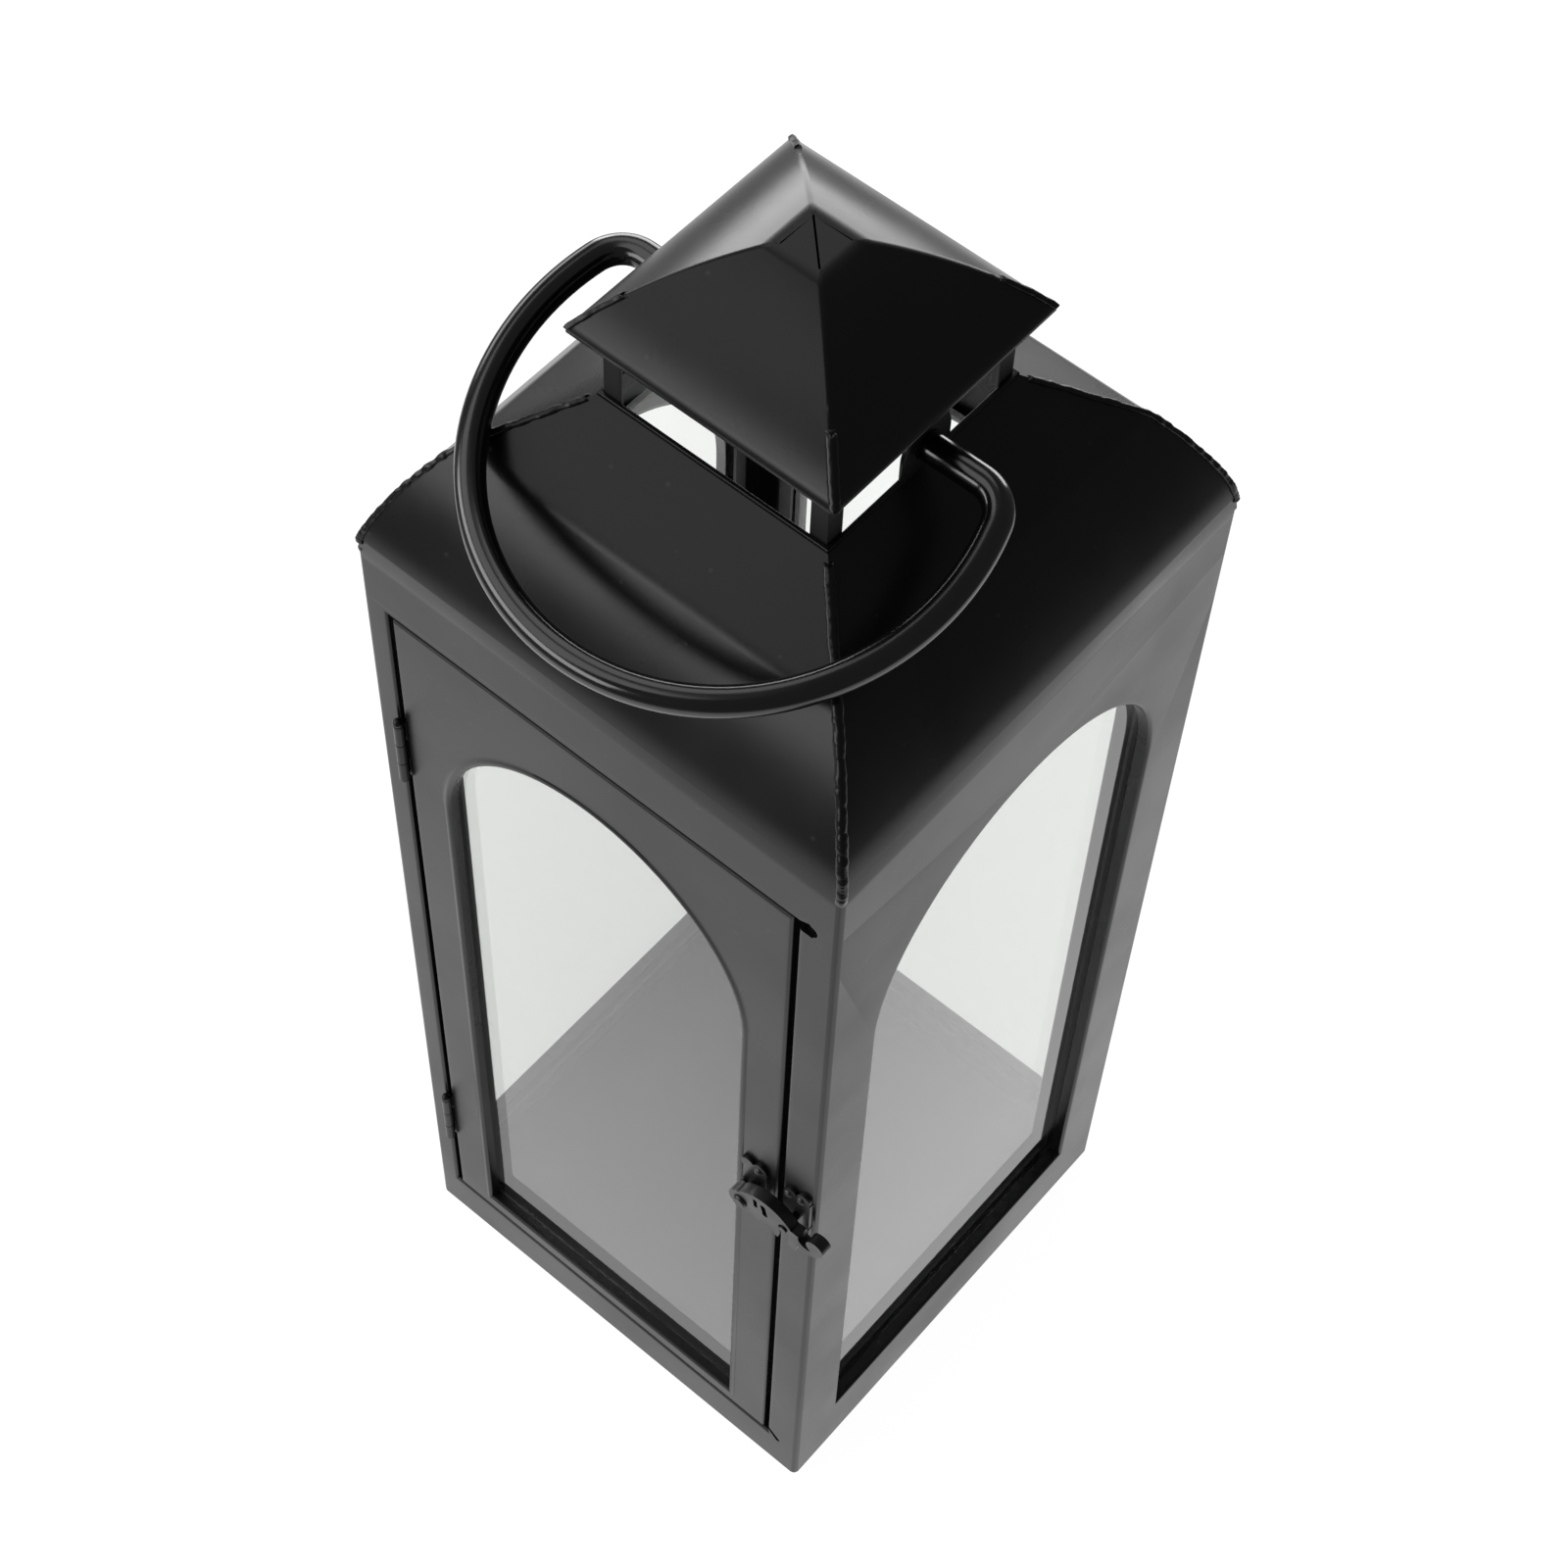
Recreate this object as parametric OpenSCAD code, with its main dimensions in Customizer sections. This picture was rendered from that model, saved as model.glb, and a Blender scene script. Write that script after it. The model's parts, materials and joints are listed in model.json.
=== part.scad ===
// Candle lantern: a square sheet-steel housing with arched windows, a hinged glazed door with a hook latch,
// a curved roof with an open vent under a raised cap, and a swinging carrying handle.
// Millimetres. The origin is the centre of the underside, +Z is up and the door faces -Y.

/* [Housing] */
// Outside width of the square housing
body_w = 150; // [145:1:165]
// Height at which the upright walls start to curve in
wall_h = 341.4; // [335:1:360]
// Thickness of the sheet steel
sheet_t = 1; // [0.8:0.1:1.2]
// Height of the upturned edge of the base pan
pan_rim_h = 9; // [6:1:12]

/* [Roof] */
// Outside radius of the shoulder bend
shoulder_r = 34.4; // [30:1:38]
// Slope of the roof where the shoulder bend ends
shoulder_slope = 66; // [62:1:70]
// Radius of the long shallow curve of the flank
flank_r = 120; // [110:5:140]
// Slope where the flank ends
flank_slope = 52.2; // [50:1:55]
// Radius of the bend at the crown
crown_r = 13; // [10:1:16]
// Slope of the short flat run up to the vent
crown_slope = 34.6; // [31:1:38]
// Width of the square vent opening
vent_w = 68; // [64:1:72]
// Height of the solder bead on the roof hips
seam_h = 0.5; // [0.3:0.1:0.6]
// Width of the solder bead on the roof hips
seam_w = 1.8; // [1.2:0.2:2.4]

/* [Vent and cap] */
// Depth of the collar that lines the vent opening
collar_h = 7; // [6:0.5:8]
// Thickness of the collar and its two ears
collar_t = 1.2; // [1:0.1:1.5]
// Leg width of the angle posts that carry the cap
post_leg = 5.2; // [4:0.2:6]
// Width of the cap at its eave
cap_w = 76.8; // [74:0.4:80]
// Height of the cap's eave above the table
cap_eave_z = 419.9; // [418:0.1:421]
// Depth of the cap's upright lip
cap_lip = 1.5; // [1:0.1:2]
// Height of the cap's flat top above the table
cap_top_z = 444; // [442:0.5:446]
// Width of the cap's flat top
cap_top_w = 14.2; // [12:0.2:16]
// Radius of the cap's curved faces
cap_r = 77.6; // [70:1:90]

/* [Windows] */
// Width of the three fixed windows
window_w = 112; // [104:1:114]
// Height of the fixed windows' lower edge
window_sill = 23.5; // [22:0.5:26]
// Height of the fixed windows' crown
window_top = 314; // [305:1:320]
// Depth of the rim turned in around each window
rim_d = 2; // [1.5:0.1:2.5]
// Thickness of the window glass
glass_t = 1.8; // [1.5:0.1:2]
// Overlap of the glass behind the window's edge
glass_lap = 4; // [3:0.5:4.5]

/* [Door] */
// Width of the front strip that carries the hinges
hinge_stile = 7.8; // [7:0.2:9]
// Width of the front strip that carries the catch
latch_stile = 11.7; // [11:0.1:12.5]
// Height of the door opening's lower edge
opening_z0 = 17; // [14:0.5:17.5]
// Height of the door opening's upper edge
opening_z1 = 324.9; // [320:0.1:328]
// Gap around the door
door_gap = 1.7; // [1.5:0.1:1.8]
// Gap over and under the door
door_gap_z = 1; // [0.8:0.1:1.5]
// Depth of the door's turned edges
door_edge_d = 4.5; // [4:0.1:4.7]
// Width of the door window
door_window_w = 99; // [92:1:100]
// Sideways offset of the door window from the centre
door_window_x = -2; // [-2.5:0.5:-1]
// Height of the door window's lower edge
door_window_sill = 25; // [24:0.5:27]
// Height of the door window's crown
door_window_top = 303; // [295:1:306]

/* [Hinges] */
// Outside radius of the hinge knuckles
knuckle_r = 1.4; // [1.3:0.05:1.4]
// Radius of the hinge pins
hinge_pin_r = 0.8; // [0.7:0.05:0.85]
// Height of the lower hinge's foot
lower_hinge_z = 51; // [40:1:70]
// Height of the upper hinge's foot
upper_hinge_z = 255; // [230:1:260]
// Length of each hinge
hinge_len = 24; // [20:1:28]

/* [Latch] */
// Height of the hook's pivot
latch_z = 175.5; // [170:0.5:184]
// Distance of the hook's pivot from the centre
latch_x = 54; // [53.5:0.5:54.5]
// Thickness of the cast hook
hook_t = 3.5; // [2.5:0.1:4]
// Radius of the hook's arched back
hook_back_r = 11.2; // [11:0.1:11.6]
// Thickness of the two backing plates
plate_t = 1.2; // [1:0.1:1.4]

/* [Handle] */
// Diameter of the handle rod
rod_d = 7.5; // [7:0.1:7.6]
// Height of the handle's pivot axis above the table
pivot_z = 403.5; // [403:0.1:404]
// Centre-line radius of the round loop
loop_r = 61.4; // [59:0.2:62]
// Distance of the loop's centre from the pivot axis
loop_reach = 25; // [23:0.5:25.5]
// Centre-line radius of the two elbows
elbow_r = 10; // [9:0.5:12]
// How far below level the handle rests
rest_tilt = 15.3; // [12:0.1:15.3]

/* [Hidden] */
$fn = 64;
half = body_w / 2;
wall_in = half - sheet_t;
eps = 0.01;

// Roof line: the outside runs as tangent arcs, each centre on the shared normal.
function normal_at(slope) = [sin(slope), cos(slope)];
shoulder_c = [half, wall_h] - shoulder_r * normal_at(90);
flank_start = shoulder_c + shoulder_r * normal_at(shoulder_slope);
flank_c = flank_start - flank_r * normal_at(shoulder_slope);
crown_start = flank_c + flank_r * normal_at(flank_slope);
crown_c = crown_start - crown_r * normal_at(flank_slope);
crown_end = crown_c + crown_r * normal_at(crown_slope);
vent_half = vent_w / 2;
vent_z = crown_end[1] + (crown_end[0] - vent_half) * tan(crown_slope);

// Cap face: an arc of radius cap_r through the eave and the edge of the flat top.
cap_half = cap_w / 2;
cap_a = [cap_half, cap_eave_z];
cap_b = [cap_top_w / 2, cap_top_z];
cap_chord = norm(cap_b - cap_a);
cap_rise = sqrt(cap_r * cap_r - cap_chord * cap_chord / 4);
cap_c = (cap_a + cap_b) / 2 + cap_rise * [-(cap_b[1] - cap_a[1]), cap_b[0] - cap_a[0]] / cap_chord;

// Collar, ears and posts
collar_z0 = vent_z - 5.9;
collar_in = vent_half - collar_t;
ear_r = 8.5;
post_t = 1;
rod_clear = 0.06;

// Glass and the rails that hold it
glass_front = wall_in - rim_d - sheet_t - 0.1;
rim_t = 1.2;
rail_t = 1;
rail_foot = 4.8;
rail_lip = 3;
rail_clear = 0.2;
door_glass_front = wall_in - rim_d;

// Door outline
opening_x0 = -half + hinge_stile;
opening_x1 = half - latch_stile;
door_x0 = opening_x0 + door_gap;
door_x1 = opening_x1 - door_gap;
door_z0 = opening_z0 + door_gap_z;
door_z1 = opening_z1 - door_gap_z;
jamb_d = 5;
stop_w = 3.3;
ear_len = 7;
ear_gap = 0.3;
bead_w = 2;
bead_h = 0.4;

// Hinge axis: midway across the gap, the knuckles standing just proud of the front
hinge_x = opening_x0 + door_gap / 2;
hinge_y = -half - knuckle_r;
leaf_t = 0.6;
leaf_d = 5.4;
pin_clear = 0.05;
knuckle_gap = 0.2;
leaf_clear = 0.35;

// Latch: the hook turns on a stud in front of the door plate, clear of the rivet heads
hook_back_y = -half - plate_t - 1.3;
hook_side_play = 0.1;
stud_r = 1.5;
stud_head_r = 2.4;
rivet_r = 0.8;
rivet_head_r = 1.4;
rivet_head_h = 0.9;
rivet_tail_h = 0.6;
peg_r = 1.2;
peg_at = [15, 3.4];
peg_play = 0.5;
peg_reach = norm(peg_at);
catch_x = opening_x1 + 5.8;
door_rivets = [[latch_x - 2.9, latch_z + 1.5], [latch_x + 2.1, latch_z + 12.8]];
catch_rivets = [[catch_x - 2.7, latch_z + 13.7], [catch_x + 1.5, latch_z + 14.9]];

// Handle: each elbow is welded to the loop, the weld ground back to a faint ring
lead = 0.4;
weld_len = 1;
weld_h = 0.05;
loop_step = loop_r - elbow_r;
loop_fall = loop_reach - elbow_r;
loop_a = asin(loop_fall / norm([loop_step, lead])) - atan2(lead, loop_step);
elbow_x = loop_step * cos(loop_a) - lead * sin(loop_a);
stub_in = collar_in - 2.3;

steel = "#1c1c1d";
inner_steel = "#2e2e30";
glass_tint = [0.8, 0.86, 0.88, 0.35];

// ---- outlines ----

// Everything under the roof line on one side, shrunk inwards by inset
module roof_region(inset) {
  polygon([[0, 0], [half - inset, 0], [half - inset, wall_h],
    shoulder_c + (shoulder_r - inset) * normal_at(shoulder_slope),
    flank_c + (flank_r - inset) * normal_at(flank_slope),
    crown_c + (crown_r - inset) * normal_at(crown_slope),
    [0, crown_c[1] + (crown_r - inset) / cos(crown_slope) + crown_c[0] * tan(crown_slope)]]);
  roof_slice(shoulder_c, shoulder_r - inset, 90, shoulder_slope);
  roof_slice(flank_c, flank_r - inset, shoulder_slope, flank_slope);
  roof_slice(crown_c, crown_r - inset, flank_slope, crown_slope);
}

// One bend of the roof line, as a slice of its circle
module roof_slice(c, r, slope_a, slope_b) {
  intersection() {
    translate(c)
      circle(r);
    polygon([c, c + 2 * r * normal_at(slope_a), c + 2 * r * normal_at(slope_b)]);
  }
}

// Section through one wall and its roof face
module wall_line() {
  difference() {
    roof_region(0);
    roof_region(sheet_t);
    translate([-half, -1])
      square([half + vent_half, cap_top_z + 2]);
  }
}

// Section through the cap, shrunk inwards by inset
module cap_region(inset, z0) {
  intersection() {
    translate(cap_c)
      circle(cap_r - inset);
    translate([-cap_c[0], cap_c[1]])
      circle(cap_r - inset);
    translate([-cap_half + inset, z0])
      square([cap_w - 2 * inset, cap_top_z - inset - z0]);
  }
}

// Window shape: upright sides under a half circle
module arch(w, z0, z1) {
  translate([-w / 2, z0])
    square([w, z1 - w / 2 - z0]);
  translate([0, z1 - w / 2])
    circle(w / 2);
}

module rect(x0, z0, x1, z1) {
  translate([x0, z0])
    square([x1 - x0, z1 - z0]);
}

// ---- placing ----

// Extrudes a front-view outline between two distances from the lantern's middle
module front_slab(r0, r1) {
  translate([0, -r0, 0])
    rotate([90, 0, 0])
      linear_extrude(r1 - r0)
        children();
}

// Extrudes a section (distance from the middle, height) along one wall
module along_wall(length) {
  rotate([90, 0, -90])
    linear_extrude(length, center = true)
      children();
}

// The quarter of the plan in front of the two diagonals
module mitre() {
  translate([0, 0, -1])
    linear_extrude(cap_top_z + 2)
      polygon([[0, 0], [-body_w, -body_w], [body_w, -body_w]]);
}

module wall_sheet() {
  intersection() {
    along_wall(body_w + 2)
      wall_line();
    mitre();
  }
}

// ---- housing ----

module glazed_wall() {
  difference() {
    wall_sheet();
    front_slab(wall_in - 1, half + 1)
      arch(window_w, window_sill, window_top);
  }
  front_slab(glass_front + 0.1, half - sheet_t / 2)
    difference() {
      arch(window_w + 2 * rim_t, window_sill - rim_t, window_top + rim_t);
      arch(window_w, window_sill, window_top);
    }
}

module glass_pane() {
  front_slab(glass_front - glass_t, glass_front)
    rect(-window_w / 2 - glass_lap, window_sill - glass_lap, window_w / 2 + glass_lap, window_top + glass_lap);
}

// Z-shaped rail: x runs outwards from the glass edge, y from the middle of the lantern
module rail_outline(front) {
  back = front - glass_t - 0.1;
  polygon([[rail_clear, -wall_in], [rail_clear + rail_t + rail_foot, -wall_in],
    [rail_clear + rail_t + rail_foot, -wall_in + rail_t], [rail_clear + rail_t, -wall_in + rail_t],
    [rail_clear + rail_t, -back + rail_t], [-rail_lip, -back + rail_t],
    [-rail_lip, -back], [rail_clear, -back]]);
}

// Side 0 stands on the right of the pane, side 1 on the left
module side_rail(side, front, glass_half, z0, z1) {
  mirror([side, 0, 0])
    translate([glass_half, 0, z0])
      linear_extrude(z1 - z0)
        rail_outline(front);
}

module side_rails(front, glass_half, z0, z1) {
  for (side = [0, 1])
    side_rail(side, front, glass_half, z0, z1);
}

module foot_rail(front, length, z) {
  translate([-length / 2, 0, z])
    rotate([0, 90, 0])
      linear_extrude(length)
        rail_outline(front);
}

module wall_rails() {
  side_rails(glass_front, window_w / 2 + glass_lap, window_sill - glass_lap, window_top - 4);
  foot_rail(glass_front, window_w - 4, window_sill - glass_lap);
}

module front_panel() {
  color(steel)
    difference() {
      union() {
        difference() {
          wall_sheet();
          front_slab(wall_in - 1, half + 1)
            rect(opening_x0, opening_z0, opening_x1, opening_z1);
        }
        front_slab(half - jamb_d, half - sheet_t / 2)
          difference() {
            rect(opening_x0 - sheet_t, opening_z0 - sheet_t, opening_x1 + sheet_t, opening_z1 + sheet_t);
            rect(opening_x0, opening_z0, opening_x1, opening_z1);
          }
        front_slab(half - jamb_d - sheet_t, half - jamb_d + eps)
          rect(opening_x1 - stop_w, opening_z0, opening_x1 + sheet_t, opening_z1);
      }
      front_slab(wall_in - 1.2, half + 1)
        corner_reliefs();
      rivet_holes(catch_rivets);
      front_slab(wall_in - 1, half + 1)
        translate([latch_x, latch_z] + peg_at)
          circle(rivet_r);
    }
}

// Saw-cut reliefs at the two corners of the opening beside the catch
module corner_reliefs() {
  top = [opening_x1, opening_z1];
  polygon([top + [-2, -0.4], top + [3, 2], top + [5, 0.2], top + [4.2, -3.2], top + [-0.3, -2]]);
  translate(top + [3.6, -0.6])
    circle(2);
  foot = [opening_x1, opening_z0];
  polygon([foot + [-0.3, 4.2], foot + [4.6, 0], foot + [3.7, -1.2], foot + [-1.2, 2.4]]);
  translate(foot + [4, -0.5])
    circle(0.9);
}

module right_panel() {
  color(steel)
    rotate([0, 0, 90])
      glazed_wall();
}

module back_panel() {
  color(steel)
    rotate([0, 0, 180])
      glazed_wall();
}

module left_panel() {
  color(steel)
    rotate([0, 0, 270])
      glazed_wall();
}

module base_pan() {
  color(inner_steel)
    difference() {
      translate([-wall_in, -wall_in, 0])
        cube([2 * wall_in, 2 * wall_in, pan_rim_h]);
      translate([-wall_in + sheet_t, -wall_in + sheet_t, sheet_t])
        cube([2 * (wall_in - sheet_t), 2 * (wall_in - sheet_t), pan_rim_h]);
    }
}

module right_glass() {
  color(glass_tint)
    rotate([0, 0, 90])
      glass_pane();
}

module back_glass() {
  color(glass_tint)
    rotate([0, 0, 180])
      glass_pane();
}

module left_glass() {
  color(glass_tint)
    rotate([0, 0, 270])
      glass_pane();
}

module right_glass_rails() {
  color(inner_steel)
    rotate([0, 0, 90])
      wall_rails();
}

module back_glass_rails() {
  color(inner_steel)
    rotate([0, 0, 180])
      wall_rails();
}

module left_glass_rails() {
  color(inner_steel)
    rotate([0, 0, 270])
      wall_rails();
}

// ---- roof ----

module roof_solid(inset) {
  intersection() {
    along_wall(2 * body_w)
      roof_both(inset);
    rotate([0, 0, 90])
      along_wall(2 * body_w)
        roof_both(inset);
  }
}

module roof_both(inset) {
  intersection() {
    union() {
      roof_region(inset);
      mirror([1, 0])
        roof_region(inset);
    }
    rect(-body_w, wall_h + 2, body_w, vent_z - 1);
  }
}

// Upright slabs over both diagonals of the plan
module diagonals(r0, r1, width) {
  for (turn = [45:90:315])
    rotate([0, 0, turn])
      translate([r0 * sqrt(2), -width / 2, 0])
        cube([(r1 - r0) * sqrt(2), width, cap_top_z + 10]);
}

module hip_seams() {
  color(steel)
    intersection() {
      difference() {
        roof_solid(-seam_h);
        roof_solid_plain();
      }
      diagonals(vent_half + 0.5, half + 2, seam_w);
    }
}

module roof_solid_plain() {
  intersection() {
    along_wall(2 * body_w + 2)
      roof_full();
    rotate([0, 0, 90])
      along_wall(2 * body_w + 2)
        roof_full();
  }
}

module roof_full() {
  roof_region(0);
  mirror([1, 0])
    roof_region(0);
}

module vent_collar() {
  color(steel)
    difference() {
      union() {
        difference() {
          translate([-vent_half, -vent_half, collar_z0])
            cube([vent_w, vent_w, collar_h]);
          translate([-collar_in, -collar_in, collar_z0 - 1])
            cube([2 * collar_in, 2 * collar_in, collar_h + 2]);
        }
        for (side = [-1, 1])
          translate([side * (vent_half - collar_t / 2), 0, 0])
            rotate([90, 0, 90])
              linear_extrude(collar_t, center = true)
                ear_outline();
      }
      translate([-body_w, 0, pivot_z])
        rotate([0, 90, 0])
          cylinder(h = 2 * body_w, r = rod_d / 2 + rod_clear);
    }
}

module ear_outline() {
  rect(-ear_r, collar_z0 + collar_h / 2, ear_r, pivot_z);
  translate([0, pivot_z])
    circle(ear_r);
}

module cap_solid(inset, z0) {
  intersection() {
    along_wall(cap_w + 20)
      cap_region(inset, z0);
    rotate([0, 0, 90])
      along_wall(cap_w + 20)
        cap_region(inset, z0);
  }
}

module post(turn) {
  color(inner_steel)
    rotate([0, 0, turn])
      intersection() {
        translate([0, 0, collar_z0])
          linear_extrude(cap_top_z - collar_z0)
            difference() {
              rect(-collar_in, -collar_in, -collar_in + post_leg, -collar_in + post_leg);
              rect(-collar_in + post_t, -collar_in + post_t, 0, 0);
            }
        cap_solid(sheet_t, collar_z0 - 1);
      }
}

module front_left_post() post(0);

module front_right_post() post(90);

module back_right_post() post(180);

module back_left_post() post(270);

module cap() {
  color(steel)
    difference() {
      cap_solid(0, cap_eave_z - cap_lip);
      cap_solid(sheet_t, cap_eave_z - 10);
    }
}

module cap_seams() {
  color(steel)
    intersection() {
      difference() {
        cap_solid(-seam_h, cap_eave_z);
        cap_solid(0, cap_eave_z - 10);
      }
      diagonals(cap_top_w / 2, cap_half + 2, seam_w);
    }
}

// ---- door ----

module door_arch(grow) {
  translate([door_window_x, 0])
    arch(door_window_w + 2 * grow, door_window_sill - grow, door_window_top + grow);
}

module door_panel() {
  color(steel)
    difference() {
      union() {
        difference() {
          front_slab(half - door_edge_d, half)
            rect(door_x0, door_z0, door_x1, door_z1);
          front_slab(half - door_edge_d - 1, wall_in)
            rect(door_x0 + sheet_t, door_z0 + sheet_t, door_x1 - sheet_t, door_z1 - sheet_t);
        }
        front_slab(wall_in, half)
          rect(door_x1 - 1, door_z1 - 1 - ear_len, opening_x1 - ear_gap, door_z1 - 1);
        front_slab(half - sheet_t / 2, half + bead_h)
          door_arch(bead_w);
        front_slab(door_glass_front, wall_in + sheet_t / 2)
          door_arch(rim_t);
      }
      front_slab(half - 10, half + 5)
        door_arch(0);
      rivet_holes(door_rivets);
      front_slab(wall_in - 1, half + 1)
        translate([latch_x, latch_z])
          circle(rivet_r);
    }
}

module door_glass() {
  color(glass_tint)
    front_slab(door_glass_front - glass_t, door_glass_front)
      translate([door_window_x, 0])
        rect(-door_window_w / 2 - glass_lap + 0.5, door_window_sill - glass_lap + 0.5,
          door_window_w / 2 + glass_lap - 0.5, door_window_top + glass_lap);
}

// The side rails are in two lengths, leaving the stile clear behind the latch
// The right rail stops short above and below the tails of the latch rivets
module door_glass_rails() {
  rail_x = door_window_w / 2 + glass_lap - 0.5;
  rail_top = door_window_top - 8;
  color(inner_steel)
    translate([door_window_x, 0, 0]) {
      side_rail(1, door_glass_front, rail_x, door_window_sill, rail_top);
      side_rail(0, door_glass_front, rail_x, door_window_sill, latch_z - 15);
      side_rail(0, door_glass_front, rail_x, latch_z + 23, rail_top);
    }
}

// ---- hinges ----

// One leaf: side -1 is fixed to the housing with the outer knuckles, side 1 to the door with the middle one
module hinge_leaf(side, z0) {
  third = hinge_len / 3;
  outer = [[0, third - knuckle_gap], [2 * third + knuckle_gap, hinge_len]];
  middle = [[third, 2 * third]];
  color(steel)
    translate([hinge_x, hinge_y, z0])
      difference() {
        union() {
          leaf_slab(side, knuckle_r + leaf_clear, 0, hinge_len);
          for (k = side < 0 ? outer : middle) {
            leaf_slab(side, 0, k[0], k[1]);
            translate([0, 0, k[0]])
              cylinder(h = k[1] - k[0], r = knuckle_r);
          }
        }
        translate([0, 0, -1])
          cylinder(h = hinge_len + 2, r = hinge_pin_r + pin_clear);
      }
}

module leaf_slab(side, y0, z0, z1) {
  outer = door_gap / 2;
  translate([side < 0 ? -outer : outer - leaf_t, y0, z0])
    cube([leaf_t, knuckle_r + leaf_d - y0, z1 - z0]);
}

module hinge_pin(z0) {
  color(steel)
    translate([hinge_x, hinge_y, z0]) {
      translate([0, 0, -0.6])
        cylinder(h = 0.6, r = knuckle_r - 0.2);
      translate([0, 0, -0.3])
        cylinder(h = hinge_len + 0.6, r = hinge_pin_r);
      translate([0, 0, hinge_len])
        cylinder(h = 0.5, r = knuckle_r);
      translate([0, 0, hinge_len + 1.2])
        sphere(knuckle_r);
    }
}

module upper_hinge_frame_leaf() hinge_leaf(-1, upper_hinge_z);

module upper_hinge_door_leaf() hinge_leaf(1, upper_hinge_z);

module upper_hinge_pin() hinge_pin(upper_hinge_z);

module lower_hinge_frame_leaf() hinge_leaf(-1, lower_hinge_z);

module lower_hinge_door_leaf() hinge_leaf(1, lower_hinge_z);

module lower_hinge_pin() hinge_pin(lower_hinge_z);

// ---- latch ----

module rivet_holes(points) {
  for (p = points)
    front_slab(wall_in - 1, half + 2 * plate_t)
      translate(p)
        circle(rivet_r);
}

// Domed head outside, flat tail inside
module rivets(points) {
  dome_r = (rivet_head_r * rivet_head_r + rivet_head_h * rivet_head_h) / (2 * rivet_head_h);
  color(steel)
    for (p = points) {
      front_slab(wall_in - rivet_tail_h, half + plate_t + 0.1)
        translate(p)
          circle(rivet_r);
      front_slab(wall_in - rivet_tail_h, wall_in)
        translate(p)
          circle(rivet_head_r);
      intersection() {
        translate([p[0], -half - plate_t - rivet_head_h + dome_r, p[1]])
          sphere(dome_r);
        front_slab(half + plate_t, half + plate_t + rivet_head_h + 1)
          translate(p)
            circle(rivet_head_r);
      }
    }
}

module latch_door_plate() {
  color(steel)
    difference() {
      front_slab(half, half + plate_t)
        translate([latch_x, latch_z]) {
          rect(-3, -2.2, 4.6, 13.4);
          for (p = [[-2, -1.4], [2.6, -1.8], [-1.8, 12.6], [2.4, 13.4]])
            translate(p)
              circle(2.4);
        }
      rivet_holes(door_rivets);
      front_slab(half - 1, half + 5)
        translate([latch_x, latch_z])
          circle(rivet_r);
    }
}

module latch_door_rivets() rivets(door_rivets);

module latch_pivot_stud() {
  stud_front = -hook_back_y + hook_t + hook_side_play;
  color(steel)
    translate([latch_x, 0, latch_z])
      rotate([90, 0, 0]) {
        translate([0, 0, wall_in - rivet_tail_h])
          cylinder(h = rivet_tail_h, r = rivet_head_r);
        translate([0, 0, wall_in - rivet_tail_h])
          cylinder(h = rivet_tail_h + sheet_t + plate_t + 1, r = rivet_r);
        translate([0, 0, half + plate_t])
          cylinder(h = stud_front - half - plate_t + 0.1, r = stud_r);
        translate([0, 0, stud_front])
          cylinder(h = 0.8, r1 = stud_head_r, r2 = stud_head_r - 0.6);
      }
}

// The hook seen from the front, its pivot at the origin
module hook_outline() {
  difference() {
    union() {
      translate([0, 0.6])
        circle(4);
      intersection() {
        translate([8.6, -1.5])
          circle(hook_back_r);
        rect(-3, -3.6, 20, 12);
      }
      hook_tail();
    }
    translate([4.2, -4.4])
      circle(2.3);
    translate([9.2, -3.8])
      circle(2.9);
    hook_slot([5.3, 4.2], [5, 6.6], 0.7);
    hook_slot([8.6, 3.2], [7.8, 6.4], 0.9);
    peg_slot();
  }
}

// Finger tail: sweeps out under the catch and curls up to a round tip
module hook_tail() {
  bend = [22.6, 4.6];
  bend_r = 5;
  tip = bend + [bend_r - 2, 0.8];
  intersection() {
    difference() {
      translate(bend)
        circle(bend_r);
      translate(bend)
        circle(bend_r - 2.4);
    }
    rect(15, -10, 40, tip[1]);
  }
  translate(tip)
    circle(2.9);
}

module hook_slot(a, b, r) {
  translate(a)
    circle(r);
  translate(b)
    circle(r);
  across = 0.9 * r * [b[1] - a[1], a[0] - b[0]] / norm(b - a);
  polygon([a - across, a + across, b + across, b - across]);
}

// The catch peg's path through the hook as the hook lifts
module peg_slot() {
  slot_r = peg_r + peg_play;
  lane = slot_r - 0.1;
  translate(peg_at)
    circle(slot_r);
  intersection() {
    difference() {
      circle(peg_reach + lane);
      circle(peg_reach - lane);
    }
    polygon([[0, 0], [1.5 * peg_reach, -40], [1.5 * peg_reach, -10], 1.5 * peg_at]);
  }
}

module latch_hook() {
  color(steel)
    translate([latch_x, hook_back_y, latch_z])
      rotate([90, 0, 0])
        difference() {
          linear_extrude(hook_t)
            hook_outline();
          translate([0, 0, -1])
            cylinder(h = hook_t + 2, r = stud_r + pin_clear);
        }
}

module latch_catch_plate() {
  color(steel)
    difference() {
      front_slab(half, half + plate_t)
        translate([catch_x, latch_z]) {
          rect(-4.4, 0.6, 4.6, 15);
          rect(2.2, -1.5, 4.8, 2);
          for (p = [[-2.2, 14.6], [2.2, 16], [-2.4, 1.6]])
            translate(p)
              circle(2.2);
          translate([3.5, -1.5])
            circle(1.3);
        }
      rivet_holes(catch_rivets);
      front_slab(half - 1, half + 5)
        translate([latch_x, latch_z] + peg_at)
          circle(rivet_r);
    }
}

module latch_catch_rivets() rivets(catch_rivets);

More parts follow.
